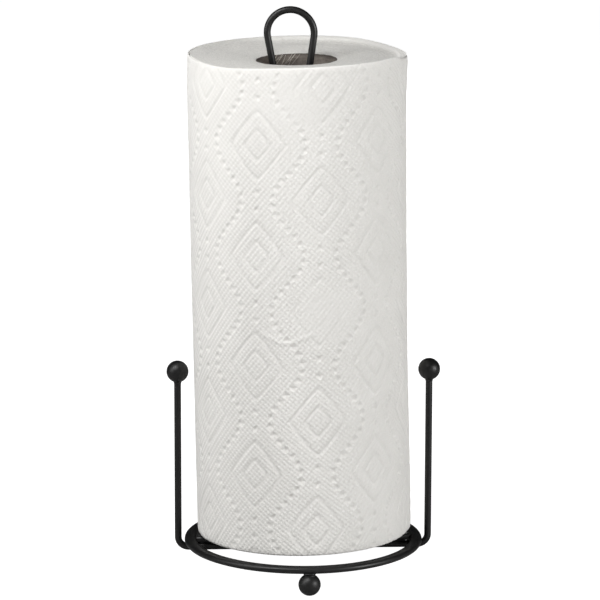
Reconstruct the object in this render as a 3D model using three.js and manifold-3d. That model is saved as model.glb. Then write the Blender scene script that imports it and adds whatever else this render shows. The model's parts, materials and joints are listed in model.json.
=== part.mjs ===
// A wire paper towel holder with a roll of paper on it. Millimetres, +Z up, front towards -Y.
// The origin is on the table top, below the middle of the base ring.
// Welded or touching pieces keep a gap of GAP between their surfaces.

import * as THREE from "three";
import { mergeVertices } from "three/addons/utils/BufferGeometryUtils.js";
import Module from "manifold-3d";

const wasm = await Module();
wasm.setup();

const GAP = 0.3;

// Round wire, used for the arms and for the post.
const WIRE_DIAMETER = 4;
const WIRE_SIDES = 12;

// Steel balls: two cap the arms and three are the feet.
const BALL_RADIUS = 6.35;
const BALL_SLICES = 24;
const BALL_RINGS = 14;
const SOCKET_DEPTH = 6.5;
const BALL_FLAT_DEPTH = 0.15; // the foot's flat, ground off the bottom of the ball
const BALL_SEAT_HEIGHT = 11.75; // height of the small flat under the foot stud's collar

// Base ring: flat-oval bar bent into a circle.
const RING_RADIUS = 65.8;
const RING_BAR_WIDTH = 6.8;
const RING_BAR_HEIGHT = 3.8;
const RING_MIDDLE_HEIGHT = 14.85;
const RING_SEGMENTS = 80;
const RING_END_STEPS = 5;

// Foot studs, one between each foot ball and the ring.
const STUD_COLLAR_RADIUS = 3.1;
const STUD_SEGMENTS = 20;
const FOOT_BEARINGS = { front: -90, back_right: 30, back_left: 150 }; // degrees from +X

// Arms: one wire bent into a wide U, its cross bar welded under the ring.
const ARM_SPREAD = 145.5; // between the axes of the two arms
const ARM_BEND_RADIUS = 6;
const ARM_BALL_HEIGHT = 115.4;

// Post: one wire bent into a hairpin with a round finger loop, its ends turned out along the cross bar.
const POST_LEG_SPREAD = 12;
const POST_END_X = 61.8;
const POST_BEND_RADIUS = 6.5;
const LOOP_RADIUS = 13.3;
const LOOP_HEIGHT = 311.6;
const LOOP_LEG_ANGLE = 9.5; // between a leg below the loop and the upright
const LOOP_SHOULDER_RADIUS = 30;
const POST_LEAN = 1.5; // degrees, towards -X

// Paper roll, standing with its core on the post's feet and leaning with the post.
const ROLL_LEAN = 0.9;
const ROLL_HEIGHT = 279.4;
const CORE_BOTTOM_HEIGHT = 17.6;
const CORE_INNER_RADIUS = 22;
const CORE_WALL = 1;
const WINDINGS_RADIUS = 61.2;
const WINDINGS_RISE = 4.2; // the outer turns stand this much above the core's end
const SHEET_THICKNESS = 0.45;
const SHEET_LENGTH = 279.4;
const SHEET_END_BEARING = -6; // where the free edge is, in degrees from +X
const TAIL_LIFT_ANGLE = 16; // the stretch before the free edge that stands off the roll
const TAIL_LIFT = 0.9;
const ROLL_SEGMENTS = 72;

const { degToRad } = THREE.MathUtils;
const wireRadius = WIRE_DIAMETER / 2;
const ringUnderside = RING_MIDDLE_HEIGHT - RING_BAR_HEIGHT / 2;
const crossBarHeight = ringUnderside - GAP - wireRadius;
const postFootHeight = crossBarHeight + WIRE_DIAMETER + GAP;

function steelBlack() {
  return new THREE.MeshStandardMaterial({ color: 0x17181a, roughness: 0.42, metalness: 0.35 });
}

function paperWhite() {
  return new THREE.MeshStandardMaterial({ color: 0xe4e2dc, roughness: 0.95, metalness: 0 });
}

function cardboardBrown() {
  return new THREE.MeshStandardMaterial({ color: 0x9a8468, roughness: 0.9, metalness: 0 });
}

function namedMesh(name, geometry, material) {
  const mesh = new THREE.Mesh(geometry, material);
  mesh.name = name;
  return mesh;
}

// A geometry as a closed solid that can be cut.
function toSolid(geometry) {
  const bare = geometry.clone();
  bare.deleteAttribute("normal");
  bare.deleteAttribute("uv");
  const merged = mergeVertices(bare, 1e-3);
  return new wasm.Manifold(
    new wasm.Mesh({
      numProp: 3,
      vertProperties: merged.getAttribute("position").array,
      triVerts: new Uint32Array(merged.index.array),
    }),
  );
}

function toGeometry(solid) {
  const { vertProperties, triVerts } = solid.getMesh();
  const geometry = new THREE.BufferGeometry();
  geometry.setAttribute("position", new THREE.BufferAttribute(vertProperties, 3));
  geometry.setIndex(new THREE.BufferAttribute(triVerts, 1));
  geometry.computeVertexNormals();
  return geometry;
}

// A cylinder standing on the z axis between two heights.
function upright(radius, low, high, segments) {
  const geometry = new THREE.CylinderGeometry(radius, radius, high - low, segments);
  geometry.rotateX(Math.PI / 2);
  geometry.translate(0, 0, (low + high) / 2);
  return geometry;
}

// The route of a bent wire: a station at each end of a straight stretch, and several in each bend.
class WireRoute extends THREE.Curve {
  constructor(stations) {
    super();
    this.stations = stations;
  }

  get steps() {
    return this.stations.length - 1;
  }

  stationAt(u) {
    return this.stations[Math.round(u * this.steps)];
  }

  getPointAt(u) {
    return this.stationAt(u).point.clone();
  }

  getTangentAt(u) {
    return this.stationAt(u).tangent.clone();
  }
}

// Walks a pen over the XZ plane: it starts at a point with a heading and takes runs and turns in order.
// Headings and turns are in degrees, anticlockwise from +X towards +Z.
function walk(x, z, heading, moves) {
  const stations = [];
  let angle = degToRad(heading);
  const mark = () => {
    stations.push({
      point: new THREE.Vector3(x, 0, z),
      tangent: new THREE.Vector3(Math.cos(angle), 0, Math.sin(angle)),
    });
  };
  mark();
  for (const { run, turn, radius, steps } of moves) {
    if (run !== undefined) {
      x += run * Math.cos(angle);
      z += run * Math.sin(angle);
      mark();
      continue;
    }
    const step = degToRad(turn) / steps;
    const chord = 2 * radius * Math.abs(Math.sin(step / 2));
    for (let i = 0; i < steps; i++) {
      x += chord * Math.cos(angle + step / 2);
      z += chord * Math.sin(angle + step / 2);
      angle += step;
      mark();
    }
  }
  return stations;
}

// Joins a half route that starts on the YZ plane to its mirror image.
function mirrored(half) {
  const otherSide = half
    .slice(1)
    .reverse()
    .map(({ point, tangent }) => ({
      point: point.clone().setX(-point.x),
      tangent: tangent.clone().setZ(-tangent.z),
    }));
  return [...otherSide, ...half];
}

function wireGeometry(route) {
  const section = new THREE.Shape().absarc(0, 0, wireRadius, 0, 2 * Math.PI, false);
  return new THREE.ExtrudeGeometry(section, {
    steps: route.steps,
    curveSegments: WIRE_SIDES / 2,
    bevelEnabled: false,
    extrudePath: route,
  });
}

// A closed profile turned about the z axis; its points are [radius, height] pairs.
function turned(profile, segments) {
  const points = profile.map(([radius, height]) => new THREE.Vector2(radius, height));
  const geometry = new THREE.LatheGeometry([...points, points[0].clone()], segments);
  geometry.rotateX(Math.PI / 2);
  return geometry;
}

function baseRing() {
  const endRadius = RING_BAR_HEIGHT / 2;
  const flatHalf = RING_BAR_WIDTH / 2 - endRadius;
  const profile = [];
  for (const side of [1, -1]) {
    for (let i = 0; i <= RING_END_STEPS; i++) {
      const angle = (i / RING_END_STEPS - 0.5) * Math.PI;
      profile.push([
        RING_RADIUS + side * (flatHalf + endRadius * Math.cos(angle)),
        RING_MIDDLE_HEIGHT + side * endRadius * Math.sin(angle),
      ]);
    }
  }
  return namedMesh("base_ring", turned(profile, RING_SEGMENTS), steelBlack());
}

function armWire() {
  const crossBarHalf = ARM_SPREAD / 2 - ARM_BEND_RADIUS;
  const wireTop = ARM_BALL_HEIGHT - BALL_RADIUS + SOCKET_DEPTH - GAP;
  const half = walk(0, crossBarHeight, 0, [
    { run: crossBarHalf },
    { turn: 90, radius: ARM_BEND_RADIUS, steps: 8 },
    { run: wireTop - crossBarHeight - ARM_BEND_RADIUS },
  ]);
  return namedMesh("arm_wire", wireGeometry(new WireRoute(mirrored(half))), steelBlack());
}

function postWire() {
  const slope = degToRad(LOOP_LEG_ANGLE);
  const shoulderTurn = LOOP_SHOULDER_RADIUS * Math.tan(slope / 2);
  const legStartX = LOOP_RADIUS * Math.cos(slope);
  const legStartZ = LOOP_HEIGHT - LOOP_RADIUS * Math.sin(slope);
  const legLength = (legStartX - POST_LEG_SPREAD / 2) / Math.sin(slope);
  const shoulderZ = legStartZ - legLength * Math.cos(slope);
  const half = walk(0, LOOP_HEIGHT + LOOP_RADIUS, 0, [
    { turn: -90 - LOOP_LEG_ANGLE, radius: LOOP_RADIUS, steps: 16 },
    { run: legLength - shoulderTurn },
    { turn: LOOP_LEG_ANGLE, radius: LOOP_SHOULDER_RADIUS, steps: 3 },
    { run: shoulderZ - shoulderTurn - postFootHeight - POST_BEND_RADIUS },
    { turn: 90, radius: POST_BEND_RADIUS, steps: 8 },
    { run: POST_END_X - POST_LEG_SPREAD / 2 - POST_BEND_RADIUS },
  ]);
  const lean = Math.tan(degToRad(POST_LEAN));
  const stations = mirrored(half);
  for (const { point, tangent } of stations) {
    point.x -= lean * (point.z - postFootHeight);
    tangent.x -= lean * tangent.z;
    tangent.normalize();
  }
  return namedMesh("post_wire", wireGeometry(new WireRoute(stations)), steelBlack());
}

function ballSolid() {
  const sphere = new THREE.SphereGeometry(BALL_RADIUS, BALL_SLICES, BALL_RINGS);
  sphere.rotateX(Math.PI / 2);
  return toSolid(sphere);
}

// The blind hole that takes a wire end or a stud, open at the given end of the ball.
function socketSolid(mouth, floor) {
  const reach = BALL_RADIUS;
  const low = Math.min(mouth, floor) - (mouth < floor ? reach : 0);
  const high = Math.max(mouth, floor) + (mouth > floor ? reach : 0);
  return toSolid(upright(wireRadius + GAP, low, high, WIRE_SIDES));
}

function armBall(name, x) {
  const socket = socketSolid(-BALL_RADIUS, -BALL_RADIUS + SOCKET_DEPTH);
  const mesh = namedMesh(name, toGeometry(ballSolid().subtract(socket)), steelBlack());
  mesh.position.set(x, 0, ARM_BALL_HEIGHT);
  return mesh;
}

// A foot ball and its stud, built about the ball's upright axis with the table at z = 0.
function footBall(name) {
  const body = ballSolid().translate(0, 0, BALL_RADIUS - BALL_FLAT_DEPTH);
  const between = toSolid(upright(2 * BALL_RADIUS, 0, BALL_SEAT_HEIGHT, STUD_SEGMENTS));
  const socket = socketSolid(BALL_SEAT_HEIGHT, BALL_SEAT_HEIGHT - SOCKET_DEPTH);
  return namedMesh(name, toGeometry(body.intersect(between).subtract(socket)), steelBlack());
}

function footStud(name) {
  const seat = BALL_SEAT_HEIGHT + GAP;
  const profile = [
    new THREE.Vector2(0, BALL_SEAT_HEIGHT - SOCKET_DEPTH + GAP),
    new THREE.Vector2(wireRadius, BALL_SEAT_HEIGHT - SOCKET_DEPTH + GAP),
    new THREE.Vector2(wireRadius, seat),
    new THREE.Vector2(STUD_COLLAR_RADIUS, seat),
    new THREE.Vector2(STUD_COLLAR_RADIUS, ringUnderside - GAP),
    new THREE.Vector2(0, ringUnderside - GAP),
  ];
  const geometry = new THREE.LatheGeometry(profile, STUD_SEGMENTS);
  geometry.rotateX(Math.PI / 2);
  return namedMesh(name, geometry, steelBlack());
}

function foot(place, bearing) {
  const group = new THREE.Group();
  const angle = degToRad(bearing);
  group.position.set(RING_RADIUS * Math.cos(angle), RING_RADIUS * Math.sin(angle), 0);
  group.add(footBall(`foot_ball_${place}`), footStud(`foot_stud_${place}`));
  return group;
}

// The roll's pieces are built with the roll's own axis on z and the lower end of the core at z = 0.
function cardboardCore() {
  const outer = CORE_INNER_RADIUS + CORE_WALL;
  const profile = [
    [CORE_INNER_RADIUS, 0],
    [outer, 0],
    [outer, ROLL_HEIGHT],
    [CORE_INNER_RADIUS, ROLL_HEIGHT],
  ];
  return namedMesh("cardboard_core", turned(profile, ROLL_SEGMENTS), cardboardBrown());
}

// The turns of paper have slid up a little from the core outwards, so both ends are shallow cones.
function paperWindings() {
  const inner = CORE_INNER_RADIUS + CORE_WALL + GAP;
  const profile = [
    [inner, 0],
    [WINDINGS_RADIUS, WINDINGS_RISE],
    [WINDINGS_RADIUS, WINDINGS_RISE + ROLL_HEIGHT],
    [inner, ROLL_HEIGHT],
  ];
  return namedMesh("paper_windings", turned(profile, ROLL_SEGMENTS), paperWhite());
}

// The last sheet lies round the roll from its perforated edge to its free edge, which stands off.
function outerSheet() {
  const base = WINDINGS_RADIUS + GAP;
  const sweep = SHEET_LENGTH / (base + SHEET_THICKNESS / 2);
  const end = degToRad(SHEET_END_BEARING);
  const liftFrom = 1 - degToRad(TAIL_LIFT_ANGLE) / sweep;
  const edgePoint = (t, offset) => {
    const lifted = Math.max(0, (t - liftFrom) / (1 - liftFrom));
    const radius = base + offset + TAIL_LIFT * lifted * lifted;
    const angle = end - sweep * (1 - t);
    return new THREE.Vector2(radius * Math.cos(angle), radius * Math.sin(angle));
  };
  const outside = [];
  const inside = [];
  for (let i = 0; i <= ROLL_SEGMENTS; i++) {
    outside.push(edgePoint(i / ROLL_SEGMENTS, SHEET_THICKNESS));
    inside.unshift(edgePoint(i / ROLL_SEGMENTS, 0));
  }
  const section = new THREE.Shape([...outside, ...inside]);
  const geometry = new THREE.ExtrudeGeometry(section, { depth: ROLL_HEIGHT, bevelEnabled: false });
  geometry.translate(0, 0, WINDINGS_RISE);
  return namedMesh("outer_sheet", geometry, paperWhite());
}

function paperRoll() {
  const roll = new THREE.Group();
  roll.position.z = CORE_BOTTOM_HEIGHT;
  roll.rotation.y = -degToRad(ROLL_LEAN);
  roll.add(cardboardCore(), paperWindings(), outerSheet());
  return roll;
}

const holder = new THREE.Group();
holder.add(
  baseRing(),
  armWire(),
  postWire(),
  armBall("arm_ball_left", -ARM_SPREAD / 2),
  armBall("arm_ball_right", ARM_SPREAD / 2),
);
for (const [place, bearing] of Object.entries(FOOT_BEARINGS)) {
  holder.add(foot(place, bearing));
}
holder.add(paperRoll());

export default holder;
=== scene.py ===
"""A black wire paper towel holder with a roll of embossed paper on it, dressed over its CAD frame."""

import json
import math

import bpy
import numpy as np
from mathutils import Matrix, Vector


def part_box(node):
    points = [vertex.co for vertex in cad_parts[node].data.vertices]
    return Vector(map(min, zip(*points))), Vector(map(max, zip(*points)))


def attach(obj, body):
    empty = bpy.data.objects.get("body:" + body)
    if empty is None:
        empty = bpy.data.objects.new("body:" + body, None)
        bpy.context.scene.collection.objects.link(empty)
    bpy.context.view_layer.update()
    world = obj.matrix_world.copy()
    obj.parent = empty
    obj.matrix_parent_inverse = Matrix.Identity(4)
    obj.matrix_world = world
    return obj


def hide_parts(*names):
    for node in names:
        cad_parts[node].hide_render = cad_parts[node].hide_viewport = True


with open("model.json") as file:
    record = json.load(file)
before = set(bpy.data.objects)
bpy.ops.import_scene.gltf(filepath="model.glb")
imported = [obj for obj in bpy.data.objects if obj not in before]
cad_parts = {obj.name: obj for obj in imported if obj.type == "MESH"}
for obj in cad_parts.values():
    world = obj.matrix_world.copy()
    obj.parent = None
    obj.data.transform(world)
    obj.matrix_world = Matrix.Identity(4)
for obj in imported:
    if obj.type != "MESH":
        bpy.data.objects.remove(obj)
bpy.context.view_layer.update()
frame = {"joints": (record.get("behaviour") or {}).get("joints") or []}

MM = 0.001

# Steel, in millimetres and degrees.
WIRE_RADIUS = 2.0
WIRE_SIDES = 28
RING_BAR_WIDTH = 6.8
RING_CROWN = 0.18
RING_SEGMENTS = 240
ARM_BEND_RADIUS = 6.0
ARM_END_DEPTH = 0.8
POST_LEG_SPREAD = 12.0
POST_BEND_RADIUS = 6.5
LOOP_RADIUS = 13.3
LOOP_LEG_ANGLE = 9.5
LOOP_SHOULDER_RADIUS = 30.0
POST_LEAN = 1.5
BALL_SEGMENTS = 56
BALL_STEPS = 40
BALL_FLAT_DEPTH = 0.15
ARM_BALL_MOUTH_RADIUS = 2.3
FOOT_BALL_MOUTH_RADIUS = 2.6
NECK_RADIUS = 3.3
NECK_FLARE = 0.75
COLLAR_RADIUS = 4.15
COLLAR_BOTTOM = 10.4
COLLAR_EDGE = 10.75
COLLAR_TOP = 11.0

# Welds: their places along X, and their half sizes.
POST_WELD_X = 34.0
POST_END_WELD_X = 61.6
ARM_WELD = (3.3, 1.9, 0.85)
POST_WELD = (4.6, 1.35, 0.75)
POST_END_WELD = (1.6, 1.6, 1.5)

# Paper roll, in millimetres and degrees, in the roll's own leaning frame.
ROLL_HEIGHT = 279.4
CORE_INNER_RADIUS = 22.0
CORE_OUTER_RADIUS = 23.1
CORE_FOOT_HEIGHT = 17.6
CORE_SINK = 0.6
CORE_WRAP_RISE = 76.0
CORE_SEAM_HEIGHT = 0.22
CORE_WRAP_STEP = 0.1
WINDINGS_INNER_RADIUS = CORE_OUTER_RADIUS + 0.1
WINDINGS_RISE = 4.2
WINDINGS_RADIUS = 61.3
WINDINGS_GROWTH = 0.57
WINDINGS_STEP = 1.1
RIM_ROUNDING = 0.5
SHEET_OUTSIDE = 62.0
SHEET_INSIDE = 61.5
SHEET_LENGTH = 279.4
SHEET_ROUNDING = 0.35
SHEET_HOLLOW = 0.4
EDGE_REACH = 2.6
SHEET_END_BEARING = -6.0
TAIL_LIFT_ANGLE = 16.0
TAIL_LIFT_FOOT = 0.85
TAIL_LIFT_MIDDLE = 0.1
TAIL_LIFT_TOP = 1.0
TOOTH_DEPTH = 0.22
TOOTH_PITCH = 3.1

# Round the roll, the last sheet takes this angle in radians, and starts at this bearing in degrees.
SHEET_SWEEP = SHEET_LENGTH / ((SHEET_OUTSIDE + SHEET_INSIDE) / 2)
SEAM_BEARING = SHEET_END_BEARING + 360.0 - math.degrees(SHEET_SWEEP)

# Embossed pattern: columns of nested diamonds with winding chains of dimples between them.
COLUMN_PITCH = 36.6
DIAMOND_PITCH = 63.1
PATTERN_SHIFT = 29.6
PATTERN_HEIGHT = 131.4
PATTERN_SKEW = 0.0263
OUTER_DIAMOND = (15.6, 19.25)
INNER_DIAMOND = (7.2, 8.7)
TIP_ROUNDING = 1.12
GROOVE_HALF_WIDTH = 1.15
GROOVE_DEPTH = 0.4
CHAIN_SWING = 9.2
CHAIN_DIMPLES = 14
CENTRE_DIMPLE_OFFSET = 5.0
DIMPLE_RADIUS = 2.05
DIMPLE_DEPTH = 0.7

# Waffle between the embossing: waves per metre along the sheet and up it, and their strength.
FALLING_WAVES = (303.0, 371.0)
RISING_WAVES = (317.0, -269.0)
FALLING_STRENGTH = 0.92
RISING_STRENGTH = 1.12
WAFFLE_LOSS = 1500.0
WAFFLE_LEAST = 0.15

# A short fold in the last sheet, as places along it and up it.
CREASE = ((-24.5, 150.5), (-14.2, 145.2), (-6.2, 146.5), (3.2, 150.2))
CREASE_WIDTH = 0.95
CREASE_HEIGHT = 0.33

# The sheet below the last one has the same print, shifted by one turn of the roll and a little fainter.
TURN_SHIFT = 17.0
TURN_RISE = -9.0
TURN_PRESS = 0.85

# Steps of the windings' mesh over the roll's lower end, its side and its upper end.
FOOT_STEPS = 34
SIDE_STEPS = 288
TOP_STEPS = 88

# Grain of the roll's cut ends: cells this wide across the turns, and this many radii round them.
LAYER_GRAIN = 0.5
LAYER_REACH = 26.0

# Torn strands inside the core's upper end: the first one's bearing and the step to the next in degrees.
FIBRE_COUNT = 11
FIBRE_RADIUS = 0.19
FIBRE_BEARING = 139.0
FIBRE_PITCH = 4.3

# The photograph's view, in metres, degrees and millimetres of lens.
CAMERA_PLACE = (-0.11897, -2.10803, 0.61882)
CAMERA_TARGET = (-0.00214, 0.00012, 0.15681)
CAMERA_ROLL = 0.129
CAMERA_LENS = 225.6

spin = next(joint for joint in frame["joints"] if joint["name"] == "roll_spin")
roll_origin = np.array(spin["pos_m"])
roll_up = np.array(spin["axis"])
roll_across = np.array([roll_up[2], 0.0, -roll_up[0]])
roll_back = np.array([0.0, 1.0, 0.0])


def smoothstep(low, high, value):
    t = np.clip((value - low) / (high - low), 0.0, 1.0)
    return t * t * (3.0 - 2.0 * t)


def centred(value, period):
    """The value brought within half a period of zero."""
    return (value + period / 2) % period - period / 2


def smooth_noise(x, y, seed):
    """Smooth noise from -1 to 1 with one cell per unit."""
    size = 256
    table = np.random.default_rng(seed).uniform(-1.0, 1.0, (size, size))
    x0 = np.floor(x).astype(int)
    y0 = np.floor(y).astype(int)
    fx = x - x0
    fy = y - y0
    fx = fx * fx * (3.0 - 2.0 * fx)
    fy = fy * fy * (3.0 - 2.0 * fy)
    left = x0 % size
    right = (x0 + 1) % size
    low = y0 % size
    high = (y0 + 1) % size
    near = table[left, low] * (1 - fx) + table[right, low] * fx
    far = table[left, high] * (1 - fx) + table[right, high] * fx
    return near * (1 - fy) + far * fy


# ---------------------------------------------------------------- mesh helpers


def make_piece(name, vertices, faces, material, body):
    mesh = bpy.data.meshes.new(name)
    mesh.from_pydata(np.asarray(vertices, float).tolist(), [], faces)
    mesh.update()
    mesh.shade_smooth()
    mesh.materials.append(material)
    piece = bpy.data.objects.new(name, mesh)
    bpy.context.scene.collection.objects.link(piece)
    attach(piece, body)
    return piece


def steel_piece(name, vertices, faces, node=None):
    """A steel piece from vertices in millimetres, shown in place of a CAD node where one is named."""
    piece = make_piece(name, np.asarray(vertices) * MM, faces, steel, "holder")
    if node:
        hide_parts(node)


def add_vectors(piece, name, values):
    attribute = piece.data.attributes.new(name, "FLOAT_VECTOR", "POINT")
    attribute.data.foreach_set("vector", np.asarray(values, np.float32).ravel())


def add_values(piece, name, values):
    attribute = piece.data.attributes.new(name, "FLOAT", "POINT")
    attribute.data.foreach_set("value", np.asarray(values, np.float32).ravel())


def grid_faces(rows, columns, wrap_rows=False, wrap_columns=False, start=0):
    """Quads over a grid of vertices stored row by row."""
    row = np.arange(rows if wrap_rows else rows - 1)
    column = np.arange(columns if wrap_columns else columns - 1)
    r, c = np.meshgrid(row, column, indexing="ij")
    r1 = (r + 1) % rows
    c1 = (c + 1) % columns
    quads = np.stack([r * columns + c, r * columns + c1, r1 * columns + c1, r1 * columns + c], -1)
    return (quads.reshape(-1, 4) + start).tolist()


def stitch(first, second):
    """Triangles between two rows of vertices of different counts, taken in the same direction."""
    faces = []
    i = 0
    j = 0
    while i < len(first) - 1 or j < len(second) - 1:
        next_first = (i + 1) / (len(first) - 1)
        next_second = (j + 1) / (len(second) - 1)
        if j == len(second) - 1 or (i < len(first) - 1 and next_first <= next_second):
            faces.append((first[i], first[i + 1], second[j]))
            i += 1
        else:
            faces.append((first[i], second[j + 1], second[j]))
            j += 1
    return faces


def lathe(profile, segments, centre):
    """A profile of (radius, height) pairs from the lower pole to the upper pole, turned about z."""
    x, y, z = centre
    vertices = [(x, y, z + profile[0][1])]
    for radius, height in profile[1:-1]:
        for k in range(segments):
            a = 2 * math.pi * k / segments
            vertices.append((x + radius * math.cos(a), y + radius * math.sin(a), z + height))
    vertices.append((x, y, z + profile[-1][1]))
    rings = len(profile) - 2
    faces = grid_faces(rings, segments, wrap_columns=True, start=1)
    last = len(vertices) - 1
    top = 1 + (rings - 1) * segments
    for k in range(segments):
        k1 = (k + 1) % segments
        faces.append((0, 1 + k1, 1 + k))
        faces.append((top + k, top + k1, last))
    return np.array(vertices), faces


def sweep(stations, radius):
    """A round wire along stations of (point, tangent) in the XZ plane, with softly rounded ends."""
    first_point, first_tangent = stations[0]
    last_point, last_tangent = stations[-1]
    end_steps = 5
    end_start = 0.35
    end_bulge = 0.45
    end_pole = 0.46
    cap = []
    for k in range(end_steps):
        a = (k + end_start) / (end_steps - 1 + end_start) * math.pi / 2
        cap.append((end_bulge * radius * math.cos(a), math.sin(a)))
    rings = [(first_point - first_tangent * out, first_tangent, share) for out, share in cap]
    rings += [(point, tangent, 1.0) for point, tangent in stations[1:-1]]
    rings += [(last_point + last_tangent * out, last_tangent, share) for out, share in reversed(cap)]

    side = np.array([0.0, 1.0, 0.0])
    turn = np.arange(WIRE_SIDES) * 2 * math.pi / WIRE_SIDES
    vertices = []
    for point, tangent, share in rings:
        normal = np.cross(side, tangent)
        for a in turn:
            vertices.append(point + share * radius * (math.cos(a) * normal + math.sin(a) * side))
    faces = grid_faces(len(rings), WIRE_SIDES, wrap_columns=True)
    start = len(vertices)
    vertices.append(first_point - first_tangent * end_pole * radius)
    vertices.append(last_point + last_tangent * end_pole * radius)
    top = (len(rings) - 1) * WIRE_SIDES
    for k in range(WIRE_SIDES):
        k1 = (k + 1) % WIRE_SIDES
        faces.append((start, k1, k))
        faces.append((top + k, top + k1, start + 1))
    return np.array(vertices), faces


def walk(x, z, heading, moves):
    """Stations along runs and turns in the XZ plane.

    A move is ("run", length) or ("turn", degrees, radius).
    """
    longest_step = 12.0
    degrees_a_step = 3.0
    angle = math.radians(heading)
    stations = []

    def mark():
        tangent = np.array([math.cos(angle), 0.0, math.sin(angle)])
        stations.append((np.array([x, 0.0, z]), tangent))

    mark()
    for move in moves:
        if move[0] == "run":
            steps = max(1, int(move[1] / longest_step))
            for _ in range(steps):
                x += move[1] / steps * math.cos(angle)
                z += move[1] / steps * math.sin(angle)
                mark()
            continue
        _, degrees, radius = move
        steps = max(6, int(abs(degrees) / degrees_a_step))
        step = math.radians(degrees) / steps
        chord = 2 * radius * abs(math.sin(step / 2))
        for _ in range(steps):
            x += chord * math.cos(angle + step / 2)
            z += chord * math.sin(angle + step / 2)
            angle += step
            mark()
    return stations


def mirrored(half):
    """Stations of a wire that is the same left and right, from those of its right half."""
    other = [
        (point * np.array([-1, 1, 1]), tangent * np.array([1, 1, -1]))
        for point, tangent in reversed(half[1:])
    ]
    return other + half


# ---------------------------------------------------------------- materials


def new_material(name, roughness, specular):
    material = bpy.data.materials.new(name)
    material.use_nodes = True
    shader = material.node_tree.nodes["Principled BSDF"]
    shader.inputs["Roughness"].default_value = roughness
    shader.inputs["Specular IOR Level"].default_value = specular
    return material, material.node_tree, shader


def add_node(tree, kind, inputs=None, **settings):
    node = tree.nodes.new(kind)
    for name, value in settings.items():
        setattr(node, name, value)
    for name, value in (inputs or {}).items():
        if isinstance(value, bpy.types.NodeSocket):
            tree.links.new(value, node.inputs[name])
        else:
            node.inputs[name].default_value = value
    return node


def maths(tree, operation, first, second=0.0):
    return add_node(tree, "ShaderNodeMath", {0: first, 1: second}, operation=operation).outputs[0]


def ramp(tree, value, stops):
    node = add_node(tree, "ShaderNodeValToRGB", {"Fac": value})
    elements = node.color_ramp.elements
    while len(elements) < len(stops):
        elements.new(0.5)
    for element, (position, colour) in zip(elements, stops):
        element.position = position
        element.color = (*colour, 1.0)
    return node.outputs["Color"]


def grey(value):
    return (value, value, value)


def object_place(tree):
    return add_node(tree, "ShaderNodeTexCoord").outputs["Object"]


def noise(tree, place, scale, detail, roughness):
    inputs = {"Vector": place, "Scale": scale, "Detail": detail, "Roughness": roughness}
    return add_node(tree, "ShaderNodeTexNoise", inputs).outputs["Fac"]


def blend(tree, first, second, share):
    """Two values added up, the first with this share and the second with the rest."""
    weighted = maths(tree, "MULTIPLY", first, share)
    return maths(tree, "ADD", weighted, maths(tree, "MULTIPLY", second, 1 - share))


def map_range(tree, value, low, high, to_low, to_high):
    inputs = {"Value": value, "From Min": low, "From Max": high, "To Min": to_low, "To Max": to_high}
    return add_node(tree, "ShaderNodeMapRange", inputs).outputs["Result"]


def mix_colours(tree, factor, first, second):
    inputs = {"Factor": factor, "A": first, "B": second}
    return add_node(tree, "ShaderNodeMix", inputs, data_type="RGBA").outputs["Result"]


def attribute(tree, name, output):
    return add_node(tree, "ShaderNodeAttribute", attribute_name=name).outputs[output]


def split_vector(tree, name):
    """The three parts of a vector that is stored on the mesh."""
    return add_node(tree, "ShaderNodeSeparateXYZ", {"Vector": attribute(tree, name, "Vector")}).outputs


def finish_surface(tree, shader, colour, height, strength, distance):
    """Link the colour and a bump from the height to the shader."""
    tree.links.new(colour, shader.inputs["Base Color"])
    inputs = {"Height": height, "Strength": strength, "Distance": distance}
    bump = add_node(tree, "ShaderNodeBump", inputs)
    tree.links.new(bump.outputs["Normal"], shader.inputs["Normal"])


def steel_material():
    material, tree, shader = new_material("satin_black_powder_coat", roughness=0.45, specular=0.45)
    place = object_place(tree)
    grain = noise(tree, place, scale=1300.0, detail=3.0, roughness=0.6)
    cloud = noise(tree, place, scale=55.0, detail=4.0, roughness=0.55)
    colour = ramp(tree, cloud, [(0.3, (0.0045, 0.0045, 0.0047)), (0.7, (0.0082, 0.008, 0.0078))])
    rough = map_range(tree, maths(tree, "MULTIPLY", grain, cloud), 0.1, 0.45, 0.38, 0.52)
    tree.links.new(rough, shader.inputs["Roughness"])
    finish_surface(tree, shader, colour, grain, strength=0.22, distance=0.00012)
    return material


def waves(tree, along, height, per_metre):
    """One family of parallel waves over the sheet, from -1 to 1."""
    along_phase = maths(tree, "MULTIPLY", along, 2 * math.pi * per_metre[0])
    height_phase = maths(tree, "MULTIPLY", height, 2 * math.pi * per_metre[1])
    return maths(tree, "SINE", maths(tree, "ADD", along_phase, height_phase))


def waffle(tree, along, height, depth):
    """The fine lattice between the embossing, faint where the paper is pressed deep."""
    weight = split_vector(tree, "crispness")
    first = maths(tree, "MULTIPLY", waves(tree, along, height, FALLING_WAVES), FALLING_STRENGTH)
    second = maths(tree, "MULTIPLY", waves(tree, along, height, RISING_WAVES), RISING_STRENGTH)
    falling = maths(tree, "MULTIPLY", first, weight[0])
    rising = maths(tree, "MULTIPLY", second, weight[1])
    low_points = map_range(tree, maths(tree, "ADD", falling, rising), -1.7, 0.9, 0.0, 1.0)
    left_over = maths(tree, "SUBTRACT", 1.0, maths(tree, "MULTIPLY", depth, WAFFLE_LOSS))
    inputs = {"Value": left_over, "Min": WAFFLE_LEAST, "Max": 1.0}
    left_over = add_node(tree, "ShaderNodeClamp", inputs).outputs[0]
    return maths(tree, "MULTIPLY", low_points, left_over)


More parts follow.
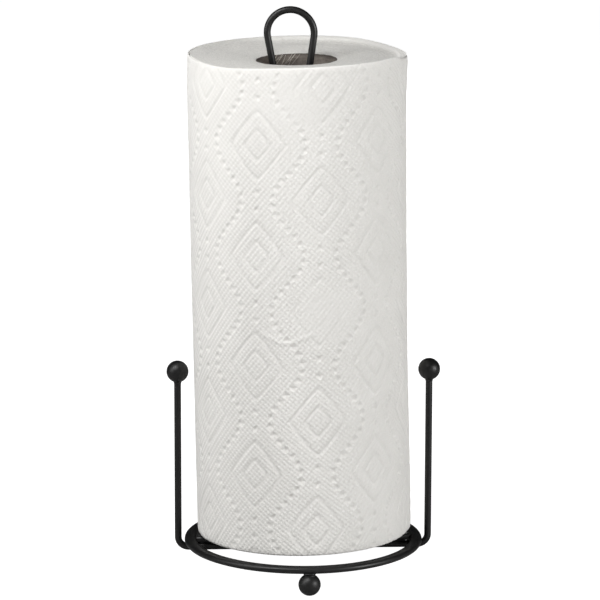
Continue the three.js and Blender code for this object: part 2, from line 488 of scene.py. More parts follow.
def tissue_base(name):
    """A soft matt paper: its material, tree and shader, with a fibre noise and a mottled one."""
    material, tree, shader = new_material(name, roughness=0.92, specular=0.12)
    shader.inputs["Sheen Weight"].default_value = 0.25
    shader.inputs["Sheen Roughness"].default_value = 0.6
    place = object_place(tree)
    fibre = noise(tree, place, scale=900.0, detail=5.0, roughness=0.65)
    cloud = noise(tree, place, scale=38.0, detail=4.0, roughness=0.6)
    return material, tree, shader, fibre, blend(tree, fibre, cloud, share=0.45)


def embossed_tissue_material():
    """The faces of the sheets: a waffle lattice, and painted shade that darkens the pressed lines and
    dimples.
    """
    material, tree, shader, fibre, mottled = tissue_base("embossed_tissue")
    tint = ramp(tree, mottled, [(0.32, (0.8, 0.786, 0.752)), (0.68, (0.87, 0.856, 0.822))])
    along, height, depth = split_vector(tree, "print_place")
    # The pressed lines and dimples are painted darker by their depth: painted shade in the recesses.
    hollow = map_range(tree, depth, 0.0, 0.0005, 0.0, 0.16)
    tint = mix_colours(tree, hollow, tint, (0.625, 0.611, 0.58, 1.0))
    lattice = waffle(tree, along, height, depth)
    relief = maths(tree, "ADD", lattice, maths(tree, "MULTIPLY", fibre, 0.55))
    finish_surface(tree, shader, tint, relief, strength=1.0, distance=0.00015)
    return material


def cut_tissue_material():
    """The roll's ends: turn upon turn of cut edges, with a lighter lip painted on as painted light."""
    material, tree, shader, fibre, mottled = tissue_base("cut_tissue_edges")
    turns = noise(tree, attribute(tree, "layer_place", "Vector"), scale=1.0, detail=4.0, roughness=0.62)
    mottled = blend(tree, mottled, turns, share=0.4)
    tint = ramp(tree, mottled, [(0.32, (0.47, 0.459, 0.432)), (0.68, (0.8, 0.785, 0.745))])
    # The lip is mixed towards a lighter colour: painted light.
    tint = mix_colours(tree, attribute(tree, "painted_lip_light", "Fac"), tint, (0.88, 0.866, 0.832, 1.0))
    relief = maths(tree, "ADD", maths(tree, "MULTIPLY", fibre, 0.3), turns)
    finish_surface(tree, shader, tint, relief, strength=1.0, distance=0.0003)
    return material


def cardboard_material():
    material, tree, shader = new_material("grey_cardboard", roughness=0.88, specular=0.2)
    fibre = noise(tree, attribute(tree, "wound_place", "Vector"), scale=1.0, detail=5.0, roughness=0.7)
    fleck = noise(tree, object_place(tree), scale=700.0, detail=3.0, roughness=0.6)
    mottled = blend(tree, fibre, fleck, share=0.65)
    tint = ramp(tree, mottled, [(0.34, (0.17, 0.147, 0.128)), (0.66, (0.31, 0.277, 0.245))])
    tint = mix_colours(tree, attribute(tree, "cut_end", "Fac"), tint, (0.09, 0.078, 0.068, 1.0))
    finish_surface(tree, shader, tint, mottled, strength=0.8, distance=0.0002)
    return material


def fibre_paper_material():
    material, tree, shader = new_material("torn_fibre", roughness=0.9, specular=0.15)
    fleck = noise(tree, object_place(tree), scale=1500.0, detail=3.0, roughness=0.6)
    tint = ramp(tree, fleck, [(0.3, (0.42, 0.38, 0.33)), (0.7, (0.66, 0.62, 0.56))])
    finish_surface(tree, shader, tint, fleck, strength=0.6, distance=0.0001)
    return material


steel = steel_material()
tissue = embossed_tissue_material()
cut_tissue = cut_tissue_material()
cardboard = cardboard_material()
fibre_paper = fibre_paper_material()


# ---------------------------------------------------------------- steel pieces


def ring_profile(centre_radius, middle, flat_half, end_radius):
    """The ring bar's outline: a half circle outside and inside, joined by flats above and below."""
    round_steps = 12
    flat_steps = 4
    profile = []
    for side in (1, -1):
        for k in range(round_steps + 1):
            a = (k / round_steps - 0.5) * math.pi
            radius = centre_radius + side * (flat_half + end_radius * math.cos(a))
            profile.append((radius, middle + side * end_radius * math.sin(a)))
        for k in range(1, flat_steps):
            radius = centre_radius + side * flat_half * (1 - 2 * k / flat_steps)
            profile.append((radius, middle + side * end_radius))
    return profile


def base_ring():
    """A flat bar with rounded edges and a slightly crowned top, bent into a ring."""
    low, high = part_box("base_ring")
    bottom = low.z / MM
    top = high.z / MM
    middle = (bottom + top) / 2
    end_radius = (top - bottom) / 2
    centre_radius = high.x / MM - RING_BAR_WIDTH / 2
    flat_half = RING_BAR_WIDTH / 2 - end_radius
    profile = ring_profile(centre_radius, middle, flat_half, end_radius)
    vertices = []
    for k in range(RING_SEGMENTS):
        a = 2 * math.pi * k / RING_SEGMENTS
        for radius, height in profile:
            crown = RING_CROWN * max(0.0, 1 - ((radius - centre_radius) / flat_half) ** 2)
            lift = crown if height > middle + 0.9 * end_radius else 0.0
            vertices.append((radius * math.cos(a), radius * math.sin(a), height + lift))
    faces = grid_faces(RING_SEGMENTS, len(profile), wrap_rows=True, wrap_columns=True)
    steel_piece("ring", vertices, faces, "base_ring")


def arm_wire():
    low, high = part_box("arm_wire")
    arm_x = high.x / MM - WIRE_RADIUS
    bar_z = low.z / MM + WIRE_RADIUS
    moves = [
        ("run", arm_x - ARM_BEND_RADIUS),
        ("turn", 90.0, ARM_BEND_RADIUS),
        ("run", high.z / MM - bar_z - ARM_BEND_RADIUS - ARM_END_DEPTH),
    ]
    vertices, faces = sweep(mirrored(walk(0.0, bar_z, 0.0, moves)), WIRE_RADIUS)
    steel_piece("arms", vertices, faces, "arm_wire")


def post_wire():
    """Half the post is walked from the top of its loop to its foot, then mirrored and leaned."""
    low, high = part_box("post_wire")
    foot_z = low.z / MM + WIRE_RADIUS
    slope = math.radians(LOOP_LEG_ANGLE)
    loop_z = high.z / MM - WIRE_RADIUS - LOOP_RADIUS
    shoulder_turn = LOOP_SHOULDER_RADIUS * math.tan(slope / 2)
    leg_start_x = LOOP_RADIUS * math.cos(slope)
    leg_start_z = loop_z - LOOP_RADIUS * math.sin(slope)
    leg_length = (leg_start_x - POST_LEG_SPREAD / 2) / math.sin(slope)
    shoulder_z = leg_start_z - leg_length * math.cos(slope)
    moves = [
        ("turn", -90.0 - LOOP_LEG_ANGLE, LOOP_RADIUS),
        ("run", leg_length - shoulder_turn),
        ("turn", LOOP_LEG_ANGLE, LOOP_SHOULDER_RADIUS),
        ("run", shoulder_z - shoulder_turn - foot_z - POST_BEND_RADIUS),
        ("turn", 90.0, POST_BEND_RADIUS),
        ("run", high.x / MM - POST_LEG_SPREAD / 2 - POST_BEND_RADIUS),
    ]
    half = walk(0.0, loop_z + LOOP_RADIUS, 0.0, moves)
    lean = math.tan(math.radians(POST_LEAN))
    stations = []
    for point, tangent in mirrored(half):
        leaned = point - np.array([lean * (point[2] - foot_z), 0.0, 0.0])
        turned = tangent - np.array([lean * tangent[2], 0.0, 0.0])
        stations.append((leaned, turned / np.linalg.norm(turned)))
    vertices, faces = sweep(stations, WIRE_RADIUS)
    steel_piece("post", vertices, faces, "post_wire")


def ball_profile(radius, middle, first_angle, last_angle):
    """A ball's outline between two angles, which are counted from its lowest point."""
    profile = []
    for k in range(BALL_STEPS + 1):
        a = first_angle + (last_angle - first_angle) * k / BALL_STEPS
        profile.append((radius * math.sin(a), middle - radius * math.cos(a)))
    return profile


def arm_ball(side):
    """A ball with a small fillet where the arm's wire goes in."""
    low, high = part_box(f"arm_ball_{side}")
    radius = (high.x - low.x) / 2 / MM
    centre = ((low.x + high.x) / 2 / MM, (low.y + high.y) / 2 / MM, high.z / MM - radius)
    profile = [
        (0.0, -radius - 1.0),
        (WIRE_RADIUS - 0.2, -radius - 1.0),
        (WIRE_RADIUS + 0.04, -radius - 0.9),
        (WIRE_RADIUS + 0.1, -radius - 0.45),
        (WIRE_RADIUS + 0.28, -radius - 0.12),
    ]
    profile += ball_profile(radius, 0.0, math.asin(ARM_BALL_MOUTH_RADIUS / radius), math.pi)
    profile[-1] = (0.0, radius)
    vertices, faces = lathe(profile, BALL_SEGMENTS, centre)
    steel_piece(f"ball_{side}", vertices, faces, f"arm_ball_{side}")


def foot(place):
    """A ball that stands on a small flat, and the collared stud that joins it to the ring."""
    low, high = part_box(f"foot_ball_{place}")
    centre = ((low.x + high.x) / 2 / MM, (low.y + high.y) / 2 / MM, 0.0)
    radius = (high.x - low.x) / 2 / MM
    middle = radius - BALL_FLAT_DEPTH
    flat_angle = math.acos(middle / radius)
    mouth_angle = math.pi - math.asin(FOOT_BALL_MOUTH_RADIUS / radius)
    mouth_height = middle - radius * math.cos(mouth_angle) + 0.1
    profile = [(0.0, 0.0), (radius * math.sin(flat_angle) * 0.8, 0.0)]
    profile += ball_profile(radius, middle, flat_angle, mouth_angle)
    profile += [(1.2, mouth_height), (0.0, mouth_height)]
    vertices, faces = lathe(profile, BALL_SEGMENTS, centre)
    steel_piece(f"foot_{place}", vertices, faces, f"foot_ball_{place}")

    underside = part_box("base_ring")[0].z / MM
    profile = [(0.0, COLLAR_BOTTOM), (3.4, COLLAR_BOTTOM), (COLLAR_RADIUS, COLLAR_EDGE)]
    neck_steps = 8
    for k in range(neck_steps + 1):
        t = k / neck_steps
        height = COLLAR_TOP + (underside + 0.15 - COLLAR_TOP) * t
        profile.append((NECK_RADIUS + NECK_FLARE * (2 * t - 0.9) ** 2, height))
    profile += [(3.2, underside + 0.6), (0.0, underside + 0.6)]
    vertices, faces = lathe(profile, 40, centre)
    steel_piece(f"neck_{place}", vertices, faces, f"foot_stud_{place}")


def weld(name, centre, size, seed):
    """A small run of weld metal under the powder coat, a little lumpy."""
    rows = 14
    columns = 28
    profile = [(0.0, -1.0)]
    for k in range(1, rows):
        a = math.pi * k / rows
        profile.append((math.sin(a), -math.cos(a)))
    profile.append((0.0, 1.0))
    vertices, faces = lathe(profile, columns, (0.0, 0.0, 0.0))
    lumps = smooth_noise(vertices[:, 0] * 2.1 + 9, vertices[:, 1] * 2.1 + vertices[:, 2] + 9, seed)
    vertices = vertices * (1 + 0.09 * lumps)[:, None] * np.array(size) + np.array(centre)
    steel_piece(name, vertices, faces)


def welds():
    """Welds between the arm wire and what lies on it: the ring, and the post's feet."""
    ring_low, ring_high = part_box("base_ring")
    ring_radius = ring_high.x / MM - RING_BAR_WIDTH / 2
    wire_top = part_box("arm_wire")[0].z / MM + 2 * WIRE_RADIUS
    between = (ring_low.z / MM + wire_top) / 2
    for side, label, number in ((-1, "left", 11), (1, "right", 12)):
        weld(f"weld_arm_{label}", (side * ring_radius, 0.0, between), ARM_WELD, number)
    for side, label in ((-1, "left"), (1, "right")):
        post_place = (side * POST_WELD_X, 0.0, between)
        end_place = (side * POST_END_WELD_X, 0.0, between + 1.0)
        weld(f"weld_post_{label}", post_place, POST_WELD, 20 + side)
        weld(f"weld_post_end_{label}", end_place, POST_END_WELD, 30 + side)


base_ring()
arm_wire()
post_wire()
arm_ball("left")
arm_ball("right")
foot("front")
foot("back_left")
foot("back_right")
welds()


# ---------------------------------------------------------------- embossed pattern


def chain_places():
    """One period of the winding chain, equally spaced: offsets across and up, in millimetres."""
    fine = np.linspace(0.0, DIAMOND_PITCH, 2001)
    swing = CHAIN_SWING * np.cos(2 * math.pi * fine / DIAMOND_PITCH)
    steps = np.hypot(np.diff(fine), np.diff(swing))
    run = np.concatenate([[0.0], np.cumsum(steps)])
    places = (np.arange(CHAIN_DIMPLES) + 0.5) / CHAIN_DIMPLES * run[-1]
    up = np.interp(places, run, fine)
    return np.interp(up, fine, swing), up


def bowl(distance, radius):
    """A rounded hollow, 1 at its middle and 0 from the radius on."""
    t = np.clip(1.0 - (distance / radius) ** 2, 0.0, None)
    return t * t


def outline_distance(dx, dy, half_width, half_height):
    """Distance of a place from the outline of a diamond with slightly rounded tips."""
    share = (np.abs(dx) / half_width) ** TIP_ROUNDING + (np.abs(dy) / half_height) ** TIP_ROUNDING
    return (share ** (1 / TIP_ROUNDING) - 1.0) / math.hypot(1.0 / half_width, 1.0 / half_height)


def emboss_depth(along, height):
    """Depth of the pressed pattern in millimetres, from the place on the sheet in millimetres."""
    y = height - PATTERN_HEIGHT
    x = along + PATTERN_SHIFT - PATTERN_SKEW * y
    column = np.round(x / COLUMN_PITCH)
    odd = column % 2
    dx = x - COLUMN_PITCH * column
    dy = centred(y - odd * DIAMOND_PITCH / 2, DIAMOND_PITCH)
    depth = np.zeros_like(x)
    for half_width, half_height in (OUTER_DIAMOND, INNER_DIAMOND):
        distance = outline_distance(dx, dy, half_width, half_height)
        depth = np.maximum(depth, GROOVE_DEPTH * bowl(distance, GROOVE_HALF_WIDTH))

    # Chains between the columns, each the mirror image of the next.
    cell = np.floor(x / COLUMN_PITCH)
    sign = 1.0 - 2.0 * (cell % 2)
    across = x - COLUMN_PITCH * (cell + 0.5)
    up = y % DIAMOND_PITCH
    for swing, place in zip(*chain_places()):
        distance = np.hypot(across - sign * swing, centred(up - place, DIAMOND_PITCH))
        depth = np.maximum(depth, DIMPLE_DEPTH * bowl(distance, DIMPLE_RADIUS))

    # Two dimples between one diamond and the next in its column.
    from_middle = np.abs(np.abs(dy) - DIAMOND_PITCH / 2)
    distance = np.hypot(dx, from_middle - CENTRE_DIMPLE_OFFSET)
    return np.maximum(depth, DIMPLE_DEPTH * bowl(distance, DIMPLE_RADIUS))


def patch(along, height, centre, size):
    """Distance from the middle of an oval patch, 1 at its edge."""
    return np.hypot((along - centre[0]) / size[0], (height - centre[1]) / size[1])


def press_strength(along, height):
    """How crisp the pattern is: crushed flat in two patches, and softer in a few others."""
    strength = 0.9 + 0.16 * smooth_noise(along / 31.0 + 40, height / 43.0 + 40, 5)
    right = smoothstep(15.0, 65.0, along) * (1 - smoothstep(75.0, 105.0, along))
    strength *= (1.2 - 0.25 * smoothstep(80.0, 260.0, height)) * (1.0 + 0.5 * right)
    crushed = patch(along, height, (13.0, 163.0), (18.0, 18.0))
    strength *= 0.2 + 0.8 * smoothstep(0.75, 1.25, crushed)
    worn = patch(along, height, (-2.0, 277.0), (16.0, 11.0))
    strength *= 0.45 + 0.55 * smoothstep(0.6, 1.4, worn)
    return np.clip(strength, 0.0, 1.6)


def crispness(along, height):
    """Strength of the waffle's falling and rising waves: faint where crushed, uneven over the sheet."""
    crushed = patch(along, height, (13.0, 160.0), (17.0, 16.0))
    worn = patch(along, height, (-2.0, 279.0), (18.0, 12.0))
    right = smoothstep(-10.0, 60.0, along) * (1 - smoothstep(75.0, 105.0, along))
    both = (1.3 - 0.5 * smoothstep(80.0, 260.0, height)) * (1.0 + 1.2 * right)
    both = both * (0.36 + 0.64 * smoothstep(0.7, 1.2, crushed))
    both = both * (0.65 + 0.35 * smoothstep(0.6, 1.3, worn))
    both = both * (1 - 0.35 * smoothstep(245.0, 275.0, height))

    on_left = 1.05 - 0.25 * smoothstep(80.0, 180.0, height)
    on_right = 0.78 + 0.42 * smoothstep(90.0, 200.0, height)
    falling = on_left + (on_right - on_left) * smoothstep(-14.0, 4.0, along)
    falling *= 1 + 0.6 * smoothstep(32.0, 46.0, along)

    rising = 1.0 + 0.35 * np.exp(-(((along + 24.0) / 13.0) ** 2)) * smoothstep(60.0, 200.0, height)
    rising -= 0.4 * np.exp(-(((along - 12.0) / 16.0) ** 2)) * (1 - smoothstep(90.0, 170.0, height))
    rising -= 0.3 * (1 - smoothstep(-50.0, -34.0, along)) * smoothstep(170.0, 270.0, height)
    rising += 0.6 * smoothstep(28.0, 42.0, along)
    return np.stack([both * falling, both * rising, np.zeros_like(along)], -1)


def crease(along, height):
    """A short soft fold that stands a little proud, in millimetres."""
    ridge = np.zeros_like(along)
    for (x0, y0), (x1, y1) in zip(CREASE, CREASE[1:]):
        length = math.hypot(x1 - x0, y1 - y0)
        t = ((along - x0) * (x1 - x0) + (height - y0) * (y1 - y0)) / length**2
        t = np.clip(t, 0.0, 1.0)
        distance = np.hypot(along - x0 - t * (x1 - x0), height - y0 - t * (y1 - y0))
        ridge = np.maximum(ridge, np.exp(-((distance / CREASE_WIDTH) ** 2)))
    return CREASE_HEIGHT * ridge


def looseness(along, height):
    """Soft unevenness of the paper where it isn't pulled tight, in millimetres."""
    broad = smooth_noise(along / 38.0 + 70, height / 55.0 + 70, 8)
    fine = smooth_noise(along / 13.0 + 20, height / 19.0 + 20, 9)
    return 0.16 * broad + 0.07 * fine


# ---------------------------------------------------------------- shape of the roll


def in_roll(radius, bearing, height):
    """Points of the leaning roll in metres, from radius and height in millimetres and bearing in radians."""
    x = radius * np.cos(bearing) * MM
    y = radius * np.sin(bearing) * MM
    z = height * MM
    return roll_origin + x[..., None] * roll_across + y[..., None] * roll_back + z[..., None] * roll_up


def roll_shape(bearing, up):
    """Millimetres that the roll stands out from an even cylinder: wider above, pinched on the right."""
    side = np.cos(bearing)
    taper = 0.8 * (up - 0.56)
    leaned = 0.5 * side * (0.33 - up)
    pinch = -0.45 * np.exp(-(((up - 0.55) / 0.25) ** 2)) * np.clip(side, 0.0, 1.0)
    tuck = -0.6 * smoothstep(0.93, 1.0, up) * np.clip(-side, 0.0, 1.0)
    return taper + leaned + pinch + tuck


def away_from_edge(bearing):
    """Degrees round the roll from the free edge: negative under the last sheet, positive behind it."""
    return centred(np.degrees(bearing) - SHEET_END_BEARING, 360.0)


def rim_flare(bearing, up):
    """How far the windings' upper rim flares out to meet the free edge's corner, in millimetres."""
    away = away_from_edge(bearing)
    behind = 1.6 * np.exp(-((away / 30.0) ** 2))
    under = 1.3 * np.exp(-((away / 7.0) ** 2))
    return np.where(away > 0.0, behind, under) * smoothstep(0.86, 1.0, up)


def left_dip(bearing):
    """The shallow dip in the paper's upper rim at the front left, in millimetres."""
    away = centred(np.degrees(bearing) + 136.0, 360.0)
    return 1.7 * np.exp(-((away / 26.0) ** 2))


def sheet_dip(bearing):
    """How far the last sheet's upper edge sinks, in millimetres: most at its free corner."""
    return 3.6 * np.exp(-((away_from_edge(bearing) / 17.0) ** 4)) + left_dip(bearing)


def rim_dip(bearing):
    """How far the upper rim of the paper below the last sheet sinks, in millimetres."""
    away = away_from_edge(bearing)
    behind = np.exp(-((away / 48.0) ** 4))
    under = np.exp(-((away / 22.0) ** 2))
    return 2.4 * np.where(away > 0.0, behind, under) + left_dip(bearing)


def tail_lift(up):
    """Millimetres that the free edge stands off: least at mid height, most at the top."""
    foot = TAIL_LIFT_FOOT * (1 - smoothstep(0.02, 0.4, up))
    top = TAIL_LIFT_TOP * np.clip((up - 0.86) / 0.14, 0.0, 1.0) ** 2
    return TAIL_LIFT_MIDDLE + foot + top


def print_place(bearing, height):
    """Place on the sheet in millimetres: along from the front, and up from the table."""
    front = centred(np.degrees(bearing) + 90.0, 360.0)
    return np.radians(front) * SHEET_OUTSIDE, height + CORE_FOOT_HEIGHT


# ---------------------------------------------------------------- paper pieces


def sheet_surface(t, up, outside):
    """Points of one face of the last sheet, with their places in the print and the waffle's crispness.

    t runs from 0 at the perforated edge to 1 at the free edge, and up from 0 to 1 with the height.
    """
    lift_from = 1 - math.radians(TAIL_LIFT_ANGLE) / SHEET_SWEEP
    lifted = np.clip((t - lift_from) / (1 - lift_from), 0.0, None)
    bearing = math.radians(SHEET_END_BEARING) - SHEET_SWEEP * (1 - t)
    height = WINDINGS_RISE + ROLL_HEIGHT * up - sheet_dip(bearing) * smoothstep(0.9, 1.0, up)

    # The perforation leaves a row of small teeth on both edges.
    tooth = TOOTH_DEPTH * np.sign(np.sin(height * 2 * math.pi / TOOTH_PITCH))
    at_edge = np.where(t >= 1.0, 1.0, 0.0) + np.where(t <= 0.0, -1.0, 0.0)
    bearing = bearing + at_edge * tooth / SHEET_OUTSIDE

    along = (bearing - np.radians(-90.0)) * SHEET_OUTSIDE
    printed = height + CORE_FOOT_HEIGHT
    radius = (SHEET_OUTSIDE if outside else SHEET_INSIDE) + tail_lift(up) * lifted**2
    radius = radius + looseness(along, printed) + roll_shape(bearing, up) + crease(along, printed)
    near_end = np.minimum(up, 1 - up) * ROLL_HEIGHT
    near_edge = np.minimum(near_end, np.minimum(t, 1 - t) * SHEET_LENGTH)
    radius = radius - SHEET_ROUNDING * (1 - smoothstep(0.0, EDGE_REACH, near_end))
    depth = np.zeros_like(radius)
    if outside:
        depth = emboss_depth(along, printed) * press_strength(along, printed)
        depth = depth * (0.4 + 0.6 * smoothstep(0.5, 2.5, near_edge))
        radius = radius - depth
    else:
        radius = radius - SHEET_HOLLOW * smoothstep(0.5, 3.0, near_edge)
    places = np.stack([along * MM, printed * MM, depth * MM], -1)
    return in_roll(radius, bearing, height), places, crispness(along, printed)


def sheet_face(rows, columns, outside):
    t, up = np.meshgrid(np.linspace(0, 1, columns), np.linspace(0, 1, rows))
    return sheet_surface(t, up, outside)


def outer_sheet():
    """The last sheet: a fine outer face with the print, a coarse inner face, and strips that join them."""
    rows, columns = 301, 301
    inner_rows, inner_columns = 21, 91
    outside, places, crisp = sheet_face(rows, columns, True)
    inside, inner_places, inner_crisp = sheet_face(inner_rows, inner_columns, False)
    count = rows * columns
    faces = grid_faces(rows, columns)
    faces += [face[::-1] for face in grid_faces(inner_rows, inner_columns, start=count)]
    out_index = np.arange(count).reshape(rows, columns)
    in_index = count + np.arange(inner_rows * inner_columns).reshape(inner_rows, inner_columns)
    for first, second, turned in (
        (out_index[0], in_index[0], True),
        (out_index[-1], in_index[-1], False),
        (out_index[:, 0], in_index[:, 0], False),
        (out_index[:, -1], in_index[:, -1], True),
    ):
        strip = stitch(first.tolist(), second.tolist())
        faces += [face[::-1] for face in strip] if turned else strip
    vertices = np.concatenate([outside.reshape(-1, 3), inside.reshape(-1, 3)])
    piece = make_piece("last_sheet", vertices, faces, tissue, "roll_paper")
    add_vectors(piece, "print_place", np.concatenate([places.reshape(-1, 3), inner_places.reshape(-1, 3)]))
    add_vectors(piece, "crispness", np.concatenate([crisp.reshape(-1, 3), inner_crisp.reshape(-1, 3)]))
    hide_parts("outer_sheet")


def windings_bearings():
    """Bearings round the windings in degrees: fine where the last sheet leaves them bare."""
    bare = np.arange(SHEET_END_BEARING - 8.0, SEAM_BEARING + 2.0, 0.9)
    covered = np.linspace(bare[-1], bare[0] + 360.0, 86)[1:-1]
    return np.concatenate([bare, covered])


def windings_radius(degrees):
    """Radius of the wound paper: it steps in by one sheet where the last sheet lies over it."""
    share = np.clip((degrees - SHEET_END_BEARING) / (SEAM_BEARING - SHEET_END_BEARING), 0.0, 1.0)
    radius = WINDINGS_RADIUS + WINDINGS_GROWTH * share
    return radius - WINDINGS_STEP * smoothstep(0.0, 1.0, degrees - SEAM_BEARING)


def windings_foot(bearing, outer):
    """The roll's lower end, from the core out to the rim."""
    b, k = np.meshgrid(bearing, np.arange(FOOT_STEPS), indexing="ij")
    rim = outer + roll_shape(b, 0.0)
    r = WINDINGS_INNER_RADIUS + (rim - WINDINGS_INNER_RADIUS) * k / FOOT_STEPS
    share_out = (r - WINDINGS_INNER_RADIUS) / (rim - WINDINGS_INNER_RADIUS)
    streak = smooth_noise(r / 0.9 + 50, b * 2.4 + 30, 14)
    return in_roll(r, b, WINDINGS_RISE * share_out + 0.12 * streak)


def windings_side(bearing, outer):
    """The roll's side from its lower rim up, with its places in the print and the waffle's crispness."""
    b, k = np.meshgrid(bearing, np.arange(SIDE_STEPS) / SIDE_STEPS, indexing="ij")
    z = WINDINGS_RISE + ROLL_HEIGHT * k - rim_dip(b) * smoothstep(0.9, 1.0, k)
    along, printed = print_place(b, z)
    depth = emboss_depth(along + TURN_SHIFT, printed + TURN_RISE) * TURN_PRESS
    near_end = np.minimum(k, 1 - k) * ROLL_HEIGHT
    rounding = RIM_ROUNDING * (1 - smoothstep(0.0, EDGE_REACH, near_end))
    r = outer - depth + looseness(along + 150, printed) - rounding
    r = r + roll_shape(b, k) + rim_flare(b, k)
    places = np.stack([(along + TURN_SHIFT) * MM, (printed + TURN_RISE) * MM, depth * MM], -1)
    return in_roll(r, b, z), places, crispness(along, printed)


def windings_top(bearing, outer):
    """The roll's upper end from the rim in to the core, with places among the turns and the lip's painted
    light.
    """
    b, k = np.meshgrid(bearing, np.arange(TOP_STEPS + 1), indexing="ij")
    share_in = k / TOP_STEPS
    share_out = 1.0 - share_in
    rim = outer - RIM_ROUNDING + roll_shape(b, 1.0) + rim_flare(b, 1.0)
    r = rim + (WINDINGS_INNER_RADIUS - rim) * share_in
    within = rim - r

    # A shallow dish runs round inside the rim, deepest beside the free edge, where the lip is also painted
    # lighter: painted light.
    lip_side = smoothstep(-0.2, 0.8, np.cos(b - math.radians(38.0)))
    dish = np.exp(-(((within - 11.0) / 8.0) ** 2)) * smoothstep(1.0, 7.0, within)
    # The lighter lip beside the free edge is painted light.
    pale = 0.75 * lip_side * (1 - smoothstep(3.5, 7.5, within))
    z = ROLL_HEIGHT + WINDINGS_RISE * share_out
    z = z - (0.3 + 1.7 * lip_side) * dish - CORE_SINK * np.exp(-(r - WINDINGS_INNER_RADIUS) / 5.0)
    z = z - rim_dip(b) * smoothstep(0.55, 1.0, share_out)

    spiral = (r + b / (2 * math.pi) * 0.42) / 0.84
    streak = smooth_noise(spiral + 50, b * 1.9 + 30, 15)
    streak = streak + 0.5 * smooth_noise(spiral * 0.3 + 90, b * 4.0 + 10, 16)
    z = z + 0.16 * streak * smoothstep(0.0, 0.03, share_in)
    layers = np.stack([r / LAYER_GRAIN, LAYER_REACH * np.cos(b), LAYER_REACH * np.sin(b)], -1)
    return in_roll(r, b, z), layers, pale


def windings():
    """The wound paper as one solid: loops that run out below, up the side and in above, all round."""
    degrees = windings_bearings()
    bearing = np.radians(degrees)
    outer = windings_radius(degrees)[:, None]
    foot_points = windings_foot(bearing, outer)
    side_points, side_places, side_crisp = windings_side(bearing, outer)
    top_points, top_layers, top_lip_light = windings_top(bearing, outer)
    loops = np.concatenate([foot_points, side_points, top_points], axis=1)
    on_foot = slice(0, FOOT_STEPS)
    on_side = slice(FOOT_STEPS, FOOT_STEPS + SIDE_STEPS)
    on_top = slice(FOOT_STEPS + SIDE_STEPS, None)

    places = np.zeros_like(loops)
    places[:, on_side] = side_places
    crisp = np.zeros_like(loops)
    crisp[:, on_side] = side_crisp
    layers = np.zeros_like(loops)
    layers[:, on_top] = top_layers
    layers[:, on_foot] = top_layers[:, ::-1][:, :FOOT_STEPS]
    # The lip's painted light is kept for the upper end only.
    pale = np.zeros(loops.shape[:2])
    pale[:, on_top] = top_lip_light

    faces = grid_faces(loops.shape[0], loops.shape[1], wrap_rows=True, wrap_columns=True)
    piece = make_piece("windings", loops.reshape(-1, 3), faces, cut_tissue, "roll_paper")
    add_vectors(piece, "print_place", places)
    add_vectors(piece, "crispness", crisp)
    add_values(piece, "painted_lip_light", pale)
    add_vectors(piece, "layer_place", layers)
    piece.data.materials.append(tissue)
    step = np.arange(len(faces)) % loops.shape[1]
    printed = (step >= FOOT_STEPS) & (step < FOOT_STEPS + SIDE_STEPS)
    piece.data.polygons.foreach_set("material_index", printed.astype(np.int32))
    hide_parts("paper_windings")


def core():
    """A tube wound from a strip of card, with a raised seam inside and slightly rough ends."""
    columns = 120
    rows = 130
    around = np.linspace(0, 2 * math.pi, columns, endpoint=False)
    bearing, up = np.meshgrid(around, np.linspace(0, 1, rows), indexing="ij")
    ragged = 0.18 * smooth_noise(bearing * 9, up * 0 + 3, 21)
    at_end = np.where(up > 0.5, 1.0, -1.0) * smoothstep(0.97, 1.0, np.maximum(up, 1 - up))
    height = (ROLL_HEIGHT - CORE_SINK) * up + ragged * at_end
    turn = (height / CORE_WRAP_RISE + bearing / (2 * math.pi)) % 1.0
    seam = np.exp(-(((turn - 0.5) / 0.009) ** 2))
    step = CORE_WRAP_STEP * (turn - 0.5)
    inside = in_roll(CORE_INNER_RADIUS + CORE_SEAM_HEIGHT * seam + step, bearing, height)
    outside = in_roll(CORE_OUTER_RADIUS, bearing, height)
    loops = np.concatenate([inside[:, ::-1], outside], axis=1)
    wound = np.stack([bearing * CORE_INNER_RADIUS * 0.22 + height * 0.12, height * 1.3, seam], -1)
    cut = smoothstep(0.9965, 0.9985, up)
    faces = [face[::-1] for face in grid_faces(columns, 2 * rows, wrap_rows=True, wrap_columns=True)]
    piece = make_piece("core", loops.reshape(-1, 3), faces, cardboard, "roll_core")
    add_vectors(piece, "wound_place", np.concatenate([wound[:, ::-1], wound], axis=1))
    add_values(piece, "cut_end", np.concatenate([cut[:, ::-1], cut], axis=1))
    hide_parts("cardboard_core")


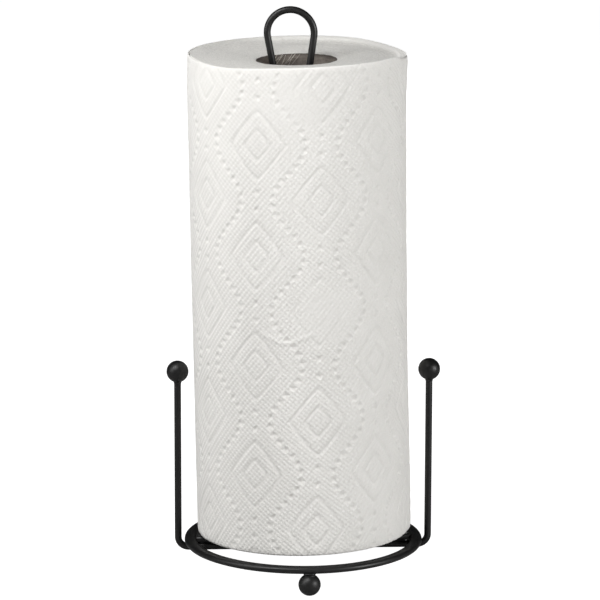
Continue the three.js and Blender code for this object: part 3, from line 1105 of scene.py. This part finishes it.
def torn_fibres():
    """Thin strands of torn paper left on the core's inner wall, at the back of its upper end."""
    draws = np.random.default_rng(7)
    sides = 6
    points = 14
    turn = np.arange(sides) * 2 * math.pi / sides
    along = np.linspace(0.0, 1.0, points)
    core_top = ROLL_HEIGHT - CORE_SINK
    vertices = []
    faces = []
    for k in range(FIBRE_COUNT):
        start = FIBRE_BEARING - FIBRE_PITCH * k + draws.uniform(-1.5, 1.5)
        slant = draws.uniform(9.0, 17.0)
        low_end = core_top - draws.uniform(4.5, 8.0)
        high_end = core_top + draws.uniform(-0.6, 0.5)
        bow = draws.uniform(-1.6, 1.6)
        bearing = np.radians(start - slant * along + bow * np.sin(math.pi * along))
        height = low_end + (high_end - low_end) * along
        wall = CORE_INNER_RADIUS - 0.12 - draws.uniform(0.1, 0.5) * np.sin(math.pi * along)
        thick = FIBRE_RADIUS * (0.45 + 0.55 * np.sin(math.pi * np.clip(along, 0.04, 0.96)))
        base = len(vertices)
        for i in range(points):
            radius = wall[i] + 0.6 * thick[i] * np.cos(turn)
            sideways = bearing[i] + thick[i] * np.sin(turn) / CORE_INNER_RADIUS
            vertices.extend(in_roll(radius, sideways, np.full(sides, height[i])))
        faces += grid_faces(points, sides, wrap_columns=True, start=base)
        faces.append(tuple(base + j for j in reversed(range(sides))))
        faces.append(tuple(base + (points - 1) * sides + j for j in range(sides)))
    make_piece("torn_fibres", vertices, faces, fibre_paper, "roll_core")


core()
torn_fibres()
windings()
outer_sheet()


# ---------------------------------------------------------------- stage, light and camera


def floor():
    """A wide pale floor that shows white to the camera and bounces only a little light."""
    size = 6.0
    steps = 24
    line = np.linspace(-size, size, steps + 1)
    x, y = np.meshgrid(line, line)
    vertices = np.stack([x, y, np.zeros_like(x)], -1).reshape(-1, 3)
    mesh = bpy.data.meshes.new("floor")
    mesh.from_pydata(vertices.tolist(), [], grid_faces(steps + 1, steps + 1))
    mesh.update()
    material, tree, shader = new_material("pale_floor", roughness=0.9, specular=0.1)
    inputs = {"Vector": object_place(tree), "Scale": 3.0, "Detail": 2.0}
    cloud = add_node(tree, "ShaderNodeTexNoise", inputs).outputs["Fac"]
    tint = ramp(tree, cloud, [(0.3, grey(0.38)), (0.7, grey(0.4))])
    tree.links.new(tint, shader.inputs["Base Color"])
    seen = tree.nodes.new("ShaderNodeLightPath").outputs["Is Camera Ray"]
    shader.inputs["Emission Color"].default_value = (1.0, 1.0, 1.0, 1.0)
    tree.links.new(seen, shader.inputs["Emission Strength"])
    mesh.materials.append(material)
    made = bpy.data.objects.new("floor", mesh)
    bpy.context.scene.collection.objects.link(made)


def softbox(name, location, target, size, power, glossy=True):
    """A square area light of this size, aimed at the target; glossy=False hides it from reflections."""
    lamp = bpy.data.lights.new(name, "AREA")
    lamp.shape = "RECTANGLE"
    lamp.size = size
    lamp.size_y = size
    lamp.energy = power
    made = bpy.data.objects.new(name, lamp)
    made.location = location
    direction = Vector(target) - Vector(location)
    made.rotation_euler = direction.to_track_quat("-Z", "Y").to_euler()
    made.visible_glossy = glossy
    bpy.context.scene.collection.objects.link(made)


def world_light():
    """White to the camera, and nearly dark as a light."""
    world = bpy.data.worlds.new("studio")
    bpy.context.scene.world = world
    world.use_nodes = True
    tree = world.node_tree
    seen = tree.nodes.new("ShaderNodeLightPath").outputs["Is Camera Ray"]
    colour = mix_colours(tree, seen, (0.03, 0.03, 0.03, 1.0), (1.0, 1.0, 1.0, 1.0))
    tree.links.new(colour, tree.nodes["Background"].inputs["Color"])


def camera():
    data = bpy.data.cameras.new("camera")
    data.sensor_width = 36.0
    data.lens = CAMERA_LENS
    data.clip_start = 0.05
    data.clip_end = 60.0
    made = bpy.data.objects.new("camera", data)
    location = Vector(CAMERA_PLACE)
    forward = (Vector(CAMERA_TARGET) - location).normalized()
    right = forward.cross(Vector((0, 0, 1))).normalized()
    up = right.cross(forward)
    roll = math.radians(CAMERA_ROLL)
    right_rolled = right * math.cos(roll) + up * math.sin(roll)
    up_rolled = up * math.cos(roll) - right * math.sin(roll)
    turned = Matrix((right_rolled, up_rolled, -forward)).transposed()
    made.matrix_world = Matrix.Translation(location) @ turned.to_4x4()
    bpy.context.scene.collection.objects.link(made)
    bpy.context.scene.camera = made


floor()
softbox("key", (-0.36, -0.45, 1.0), (0.0, 0.0, 0.2), size=0.2, power=5.0)
softbox("left_top", (-0.5, -0.3, 0.62), (0.0, 0.0, 0.28), size=0.3, power=1.8)
softbox("left", (-1.2, -0.45, 0.5), (0.0, 0.0, 0.2), size=0.5, power=4.0)
softbox("right", (1.0, -0.65, 0.36), (0.0, 0.0, 0.14), size=0.4, power=9.0)
softbox("front", (0.3, -2.6, 0.5), (0.0, 0.0, 0.15), size=0.6, power=2.4)
softbox("back", (0.5, 1.7, 0.55), (0.0, 0.0, 0.15), size=0.8, power=13.0, glossy=False)
world_light()
camera()
bpy.context.scene.view_settings.view_transform = "Standard"
